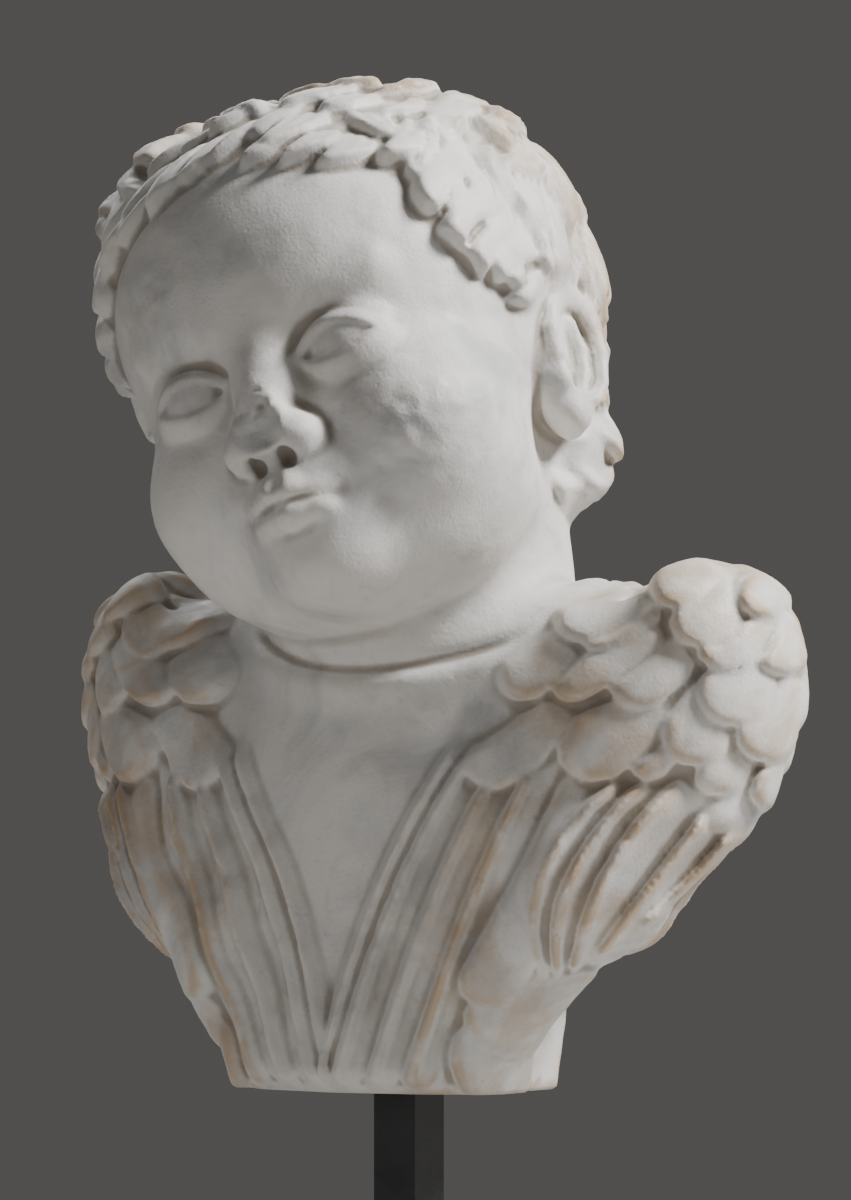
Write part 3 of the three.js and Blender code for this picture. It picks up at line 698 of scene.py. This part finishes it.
def carve_stone(step):
    """The whole bust, from rough mass to detail.

    Relief is worked out on the smooth body or on the head joined to it, so layers don't disturb each other.
    """
    coarse = Stone(LATTICE_LOW, LATTICE_HIGH, COARSENESS * step)
    coarse.mass(BODY, np.meshgrid(*coarse.axes, indexing="ij", sparse=True))
    body = coarse.finer(COARSENESS)
    coarse.d[:] = FAR
    grid = np.meshgrid(*coarse.axes, indexing="ij")
    coarse.mass(SKULL, np.tensordot(HEAD_TURN.T, np.stack([g - c for g, c in zip(grid, HEAD_AT)]), 1))
    head = coarse.finer(COARSENESS)
    for s in (1, -1):
        carve_eye(head, s)
    carve_nose(head)
    carve_mouth(head)
    scalp = head.copy()
    scalp.d = smooth_min(scalp.d, body.d, 10)
    for s in (1, -1):
        carve_ear(head, s)
    stone = body.copy()
    carve_block(stone)
    for side in (1, -1):
        carve_wing(stone, body, side)
    stone.d = smooth_min(stone.d, head.d, 6).astype(np.float32)
    carve_hair(stone, scalp)
    carve_damage(stone, scalp)
    carve_neck(stone, scalp)
    stone.d = smooth_max(stone.d, np.broadcast_to(-stone.axes[2], stone.d.shape), 1.2).astype(np.float32)
    return stone


def proud(stone, points, reach):
    """How far each point stands proud of what is round it, above 0, or lies in a cut, below 0."""
    solid = np.clip(0.5 - stone.d / stone.step, 0, 1)
    width = max(1, round(reach / stone.step))
    for axis, n in enumerate(stone.count):
        total = np.cumsum(solid, axis=axis, dtype=np.float32)
        upper = np.take(total, np.minimum(np.arange(n) + width, n - 1), axis=axis)
        lower = np.take(total, np.maximum(np.arange(n) - width - 1, 0), axis=axis)
        solid = (upper - lower) / (2 * width + 1)
    soft = stone.copy()
    soft.d = 0.5 - solid
    return soft.sample(points) * 4


def aged(points):
    """Where the ochre patina lies: the wings and hair, and only a little on the face and chest."""
    local = (points - HEAD_AT) @ HEAD_TURN
    up = points[:, 2]
    hair = np.clip((local[:, 1] + local[:, 2] * 0.6 - 8) / 24, 0, 1) * np.clip((up - 200) / 20, 0, 1)
    wing = np.clip((np.abs(points[:, 0]) - 26 - up * 0.28) / 14, 0, 1) * (up < 225)
    return 0.16 + 0.84 * np.maximum(hair, wing)


# The surface is left flat below this height, where the stone stands on its post
UNDERSIDE = 1.5
# How far round a point its relief is judged
RELIEF_REACH = 4.2
# Roughness of the skin: marks' size, seed, depth
SKIN = ((9.0, 3, 0.22), (3.2, 4, 0.10))


def stone_mesh(stone, name, base):
    """The stone's surface as a mesh in metres, standing at a height of base."""
    grid = openvdb.FloatGrid()
    grid.copyFromArray(stone.d)
    points, triangles, quads = grid.convertToPolygons(isovalue=0.0, adaptivity=0.0)
    points = points * stone.step + stone.low
    rough = sum(Noise(size, seed)(points) * depth for size, seed, depth in SKIN)
    rough = np.where(points[:, 2] > UNDERSIDE, rough, 0.0)
    values = {"relief": proud(stone, points, RELIEF_REACH), "aged": aged(points)}
    points = points + stone.normal(points) * rough[:, None]
    points = points * MM + np.array([0, 0, base])
    mesh = bpy.data.meshes.new(name)
    mesh.vertices.add(len(points))
    mesh.vertices.foreach_set("co", points.astype(np.float32).ravel())
    corners = np.concatenate([quads.ravel(), triangles.ravel()]).astype(np.int32)
    mesh.loops.add(len(corners))
    mesh.loops.foreach_set("vertex_index", corners)
    mesh.polygons.add(len(quads) + len(triangles))
    starts = np.concatenate([np.arange(len(quads)) * 4, len(quads) * 4 + np.arange(len(triangles)) * 3])
    mesh.polygons.foreach_set("loop_start", starts.astype(np.int32))
    mesh.update(calc_edges=True)
    mesh.validate()
    for key, value in values.items():
        mesh.attributes.new(key, "FLOAT", "POINT").data.foreach_set("value", value.astype(np.float32))
    return mesh


# Finish of the materials

def per_mm(size):
    """The scale of a texture whose marks are size millimetres across."""
    return 1 / (size * MM)


def add(tree, kind, inputs=None, **settings):
    """Adds a shader node with its settings; an input is a constant or another node's output."""
    made = tree.nodes.new("ShaderNode" + kind)
    for name, value in settings.items():
        setattr(made, name, value)
    for key, value in (inputs or {}).items():
        if isinstance(value, bpy.types.NodeSocket):
            tree.links.new(value, made.inputs[key])
        else:
            made.inputs[key].default_value = value
    return made


def spread(tree, value, low, high, to_low=0.0, to_high=1.0):
    """A value between low and high as one between to_low and to_high."""
    made = add(tree, "MapRange", {"Value": value, "From Min": low, "From Max": high, "To Min": to_low,
                                  "To Max": to_high}, interpolation_type="SMOOTHSTEP")
    return made.outputs["Result"]


def product(tree, a, b):
    """Two values multiplied."""
    return add(tree, "Math", {0: a, 1: b}, operation="MULTIPLY").outputs[0]


def mixed(tree, share, a, b):
    """Colour b over colour a by a share."""
    return add(tree, "Mix", {0: share, 6: a, 7: b}, data_type="RGBA").outputs[2]


def noise(tree, place, size, detail, distortion=0.0):
    """Uneven values from 0 to 1 with marks of size millimetres."""
    return add(tree, "TexNoise", {"Vector": place, "Scale": per_mm(size), "Detail": detail, "Roughness": 0.6,
                                  "Distortion": distortion}).outputs["Fac"]


def begin(name):
    """A new material with its surface shader and the object's own coordinates."""
    material = bpy.data.materials.new(name)
    material.use_nodes = True
    tree = material.node_tree
    tree.nodes.clear()
    surface = add(tree, "BsdfPrincipled")
    add(tree, "OutputMaterial", {"Surface": surface.outputs["BSDF"]})
    return material, tree, surface, add(tree, "TexCoord").outputs["Object"]


def marble_material(settings):
    """Weathered white marble: grey clouding, an ochre patina on what stands proud, small dark specks, and
    painted shade in the cuts.
    """
    material, tree, surface, place = begin("weathered_white_marble")
    relief = add(tree, "Attribute", attribute_name="relief").outputs["Fac"]
    old = add(tree, "Attribute", attribute_name="aged").outputs["Fac"]
    clouds = spread(tree, noise(tree, place, 70, 5, 0.9), 0.42, 0.72)
    mottles = spread(tree, noise(tree, place, 14, 4, 0.5), 0.5, 0.8)
    blotches = product(tree, spread(tree, noise(tree, place, 34, 6, 0.4), 0.38, 0.66), old)
    ridges = product(tree, spread(tree, relief, 0.03, 0.5), old)
    worn_ridges = product(tree, ridges, spread(tree, noise(tree, place, 16, 4, 0.6), 0.36, 0.62, 0.2, 1.0))
    # Painted shade: the cuts are darkened where shade falls in them, in the same colour as the small dark
    # specks.
    cuts = spread(tree, relief, -0.08, -0.5)
    specks = spread(tree, noise(tree, place, 2.4, 2), 0.66, 0.78)
    # Each layer: where it lies, how strong it is, its colour; the layer in the cuts is painted shade.
    layers = ((clouds, 0.75, settings.grey), (mottles, 0.4, settings.grey), (blotches, 0.52, settings.ochre),
              (worn_ridges, 0.7, settings.ochre), (cuts, 0.62, settings.cut_shade_and_specks), (specks, 0.22, settings.cut_shade_and_specks))
    colour = linear(settings.white)
    for share, strength, over in layers:
        colour = mixed(tree, product(tree, share, strength), colour, linear(over))
    tree.links.new(colour, surface.inputs["Base Color"])
    sheen = spread(tree, noise(tree, place, 9, 4), 0.3, 0.7, 0.42, 0.62)
    tree.links.new(sheen, surface.inputs["Roughness"])
    # A little light goes into the stone, so its edges glow faintly.
    surface.inputs["Subsurface Weight"].default_value = 0.06
    surface.inputs["Subsurface Radius"].default_value = (0.9, 0.75, 0.6)
    surface.inputs["Subsurface Scale"].default_value = 0.002
    surface.inputs["Specular IOR Level"].default_value = 0.35
    pits = add(tree, "TexVoronoi", {"Vector": place, "Scale": per_mm(5)}, feature="SMOOTH_F1")
    holes = product(tree, spread(tree, pits.outputs["Distance"], 0.05, 0.22), 0.25)
    grain = add(tree, "Math", {0: noise(tree, place, 1.6, 3), 1: holes}, operation="ADD").outputs[0]
    bump = add(tree, "Bump", {"Height": grain, "Strength": 0.35, "Distance": 0.0006})
    tree.links.new(bump.outputs["Normal"], surface.inputs["Normal"])
    return material


def steel_material(settings):
    """Black painted steel: a fine orange peel, slightly uneven sheen and faint dust."""
    material, tree, surface, place = begin("black_painted_steel")
    dust = spread(tree, noise(tree, place, 45, 4, 0.4), 0.45, 0.8)
    colour = mixed(tree, product(tree, dust, 0.22), linear(settings.paint), linear(settings.dust))
    tree.links.new(colour, surface.inputs["Base Color"])
    sheen = spread(tree, noise(tree, place, 22, 3), 0.3, 0.7, 0.36, 0.52)
    tree.links.new(sheen, surface.inputs["Roughness"])
    bump = add(tree, "Bump", {"Height": noise(tree, place, 1.2, 2), "Strength": 0.25, "Distance": 0.0003})
    tree.links.new(bump.outputs["Normal"], surface.inputs["Normal"])
    return material


def floor_material(settings):
    """A plain pale studio floor."""
    material, _, surface, _ = begin("studio_floor")
    surface.inputs["Base Color"].default_value = linear(settings.floor)
    surface.inputs["Roughness"].default_value = 0.8
    return material


# Settings

def colour_setting(name, description, default):
    """A colour property, kept as an sRGB hex text."""
    return bpy.props.StringProperty(name=name, description=description, default=default)


class PuttoStoneSettings(bpy.types.PropertyGroup):
    """The marble bust."""

    step: bpy.props.FloatProperty(
        name="Carving Step", description="Spacing of the carving lattice in millimetres",
        default=1.4, min=1.0, max=3.0)
    most_triangles: bpy.props.IntProperty(
        name="Most Triangles", description="Triangles kept in the finished bust",
        default=190000, min=20000, max=199000)
    white: colour_setting("White", "Clean marble", "#dedbd6")
    grey: colour_setting("Grey", "Clouding in the marble", "#a6a8ab")
    ochre: colour_setting("Ochre", "Warm patina on worn edges", "#b99c78")
    # Painted shade in the cuts, and the colour of the small dark specks in the stone
    cut_shade_and_specks: colour_setting("Cut Shade and Specks", "Painted shade in the cuts, and dark specks", "#75654f")


class PuttoMountSettings(bpy.types.PropertyGroup):
    """The steel post and its foot."""

    paint: colour_setting("Paint", "Black paint", "#101012")
    dust: colour_setting("Dust", "Dust on the paint", "#3a3836")


class PuttoStageSettings(bpy.types.PropertyGroup):
    """The floor, lights and camera."""

    floor: colour_setting("Floor", "Pale floor", "#c9c7c4")
    floor_radius: bpy.props.FloatProperty(
        name="Floor Radius", description="Reach of the floor", default=1.0, unit="LENGTH")
    azimuth: bpy.props.FloatProperty(
        name="Azimuth", description="The camera's turn towards the figure's left",
        default=math.radians(35), subtype="ANGLE")
    distance: bpy.props.FloatProperty(
        name="Camera Distance", description="From the post's axis", default=2.5, unit="LENGTH")
    pixel: bpy.props.FloatProperty(
        name="Pixel Size", description="What one pixel of the photograph spans at the post",
        default=0.0004, precision=5, unit="LENGTH")


# Operators

def only(obj):
    """Makes one object the selected and active one."""
    bpy.ops.object.select_all(action="DESELECT")
    obj.select_set(True)
    bpy.context.view_layer.objects.active = obj


class PUTTO_OT_marble_bust(bpy.types.Operator):
    """Carve the marble bust: head, hair, chest and folded wings"""

    bl_idname = "putto.marble_bust"
    bl_label = "Marble Bust"

    def execute(self, context):
        settings = context.scene.putto_stone
        step = settings.step
        mesh = stone_mesh(carve_stone(step), "marble_bust_carved", STONE_LOW[2])
        bust = bpy.data.objects.new("marble_bust_carved", mesh)
        context.scene.collection.objects.link(bust)
        only(bust)
        triangles = sum(len(face.vertices) - 2 for face in mesh.polygons)
        if triangles > settings.most_triangles:
            fewer = bust.modifiers.new("fewer", "DECIMATE")
            fewer.ratio = settings.most_triangles / triangles
            bpy.ops.object.modifier_apply(modifier=fewer.name)
        bpy.ops.object.shade_smooth()
        bust.data.materials.append(marble_material(settings))
        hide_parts("marble_bust")
        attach(bust, "root")
        return {"FINISHED"}


class PUTTO_OT_mount(bpy.types.Operator):
    """Finish the square post and its foot in black paint"""

    bl_idname = "putto.mount"
    bl_label = "Post and Foot"

    def execute(self, context):
        steel = steel_material(context.scene.putto_mount)
        for name in ("post", "foot_plate"):
            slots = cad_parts[name].data.materials
            slots.clear()
            slots.append(steel)
        return {"FINISHED"}


# Soft lights, in metres from the bust's middle: to the right of the view, towards it, up, size, watts
LIGHTS = (
    ("key", 1.45, 0.3, 1.35, 0.5, 92),
    ("fill", -1.8, 1.3, 0.2, 1.6, 4.5),
    ("back", -0.6, -1.6, 1.2, 1.2, 14),
)
WORLD_STRENGTH = 0.15


class PUTTO_OT_stage(bpy.types.Operator):
    """Set out the floor, the soft lights and the camera"""

    bl_idname = "putto.stage"
    bl_label = "Floor, Lights and Camera"

    def execute(self, context):
        settings = context.scene.putto_stage
        bpy.ops.object.select_all(action="DESELECT")
        bpy.ops.mesh.primitive_circle_add(vertices=96, radius=settings.floor_radius, fill_type="NGON",
                                          location=(0, 0, FLOOR_HEIGHT))
        floor = context.object
        floor.name = "studio_floor"
        floor.data.materials.append(floor_material(settings))
        turn = settings.azimuth
        right = Vector((math.cos(turn), math.sin(turn), 0))
        towards = Vector((math.sin(turn), -math.cos(turn), 0))
        centre = Vector((0, 0, (STONE_LOW[2] + STONE_HIGH[2]) / 2))
        for name, across, ahead, up, size, power in LIGHTS:
            place = centre + right * across + towards * ahead + Vector((0, 0, up))
            bpy.ops.object.light_add(type="AREA", radius=size, location=place)
            light = context.object
            light.name = name + "_light"
            light.data.energy = power
            light.rotation_euler = (centre - place).to_track_quat("-Z", "Y").to_euler()
        world = bpy.data.worlds.new("studio")
        context.scene.world = world
        world.use_nodes = True
        sky = world.node_tree.nodes["Background"].inputs
        sky["Color"].default_value = linear(settings.floor)
        sky["Strength"].default_value = WORLD_STRENGTH
        place = towards * settings.distance + right * (PHOTO_WIDTH / 2 - POST_COLUMN) * settings.pixel
        place.z = STONE_LOW[2] + (BASE_ROW - HORIZON_ROW) * settings.pixel
        focal = settings.distance / settings.pixel
        pitch = math.atan((HORIZON_ROW - PHOTO_HEIGHT / 2) / focal)
        look = -towards * math.cos(pitch) + Vector((0, 0, math.sin(pitch)))
        bpy.ops.object.camera_add(location=place, rotation=look.to_track_quat("-Z", "Y").to_euler())
        camera = context.object
        camera.name = "photo_camera"
        camera.data.lens = camera.data.sensor_width * focal / PHOTO_HEIGHT
        context.scene.camera = camera
        return {"FINISHED"}


class PUTTO_PT_sidebar(bpy.types.Panel):
    """The settings and steps of the winged putto bust"""

    bl_idname = "PUTTO_PT_sidebar"
    bl_label = "Winged Putto Bust"
    bl_space_type = "VIEW_3D"
    bl_region_type = "UI"
    bl_category = "Putto"

    def draw(self, context):
        for group, operator in STEPS:
            box = self.layout.box()
            box.operator(operator)
            settings = getattr(context.scene, group)
            for name in settings.__annotations__:
                box.prop(settings, name)


STEPS = (("putto_stone", "putto.marble_bust"), ("putto_mount", "putto.mount"), ("putto_stage", "putto.stage"))
GROUPS = {
    "putto_stone": PuttoStoneSettings,
    "putto_mount": PuttoMountSettings,
    "putto_stage": PuttoStageSettings,
}
CLASSES = (*GROUPS.values(), PUTTO_OT_marble_bust, PUTTO_OT_mount, PUTTO_OT_stage, PUTTO_PT_sidebar)


def register():
    for kind in CLASSES:
        bpy.utils.register_class(kind)
    for name, group in GROUPS.items():
        setattr(bpy.types.Scene, name, bpy.props.PointerProperty(type=group))


def unregister():
    for name in GROUPS:
        delattr(bpy.types.Scene, name)
    for kind in reversed(CLASSES):
        bpy.utils.unregister_class(kind)


def main():
    """Registers the add-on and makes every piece."""
    register()
    bpy.ops.putto.marble_bust()
    bpy.ops.putto.mount()
    bpy.ops.putto.stage()


if __name__ == "__main__":
    main()
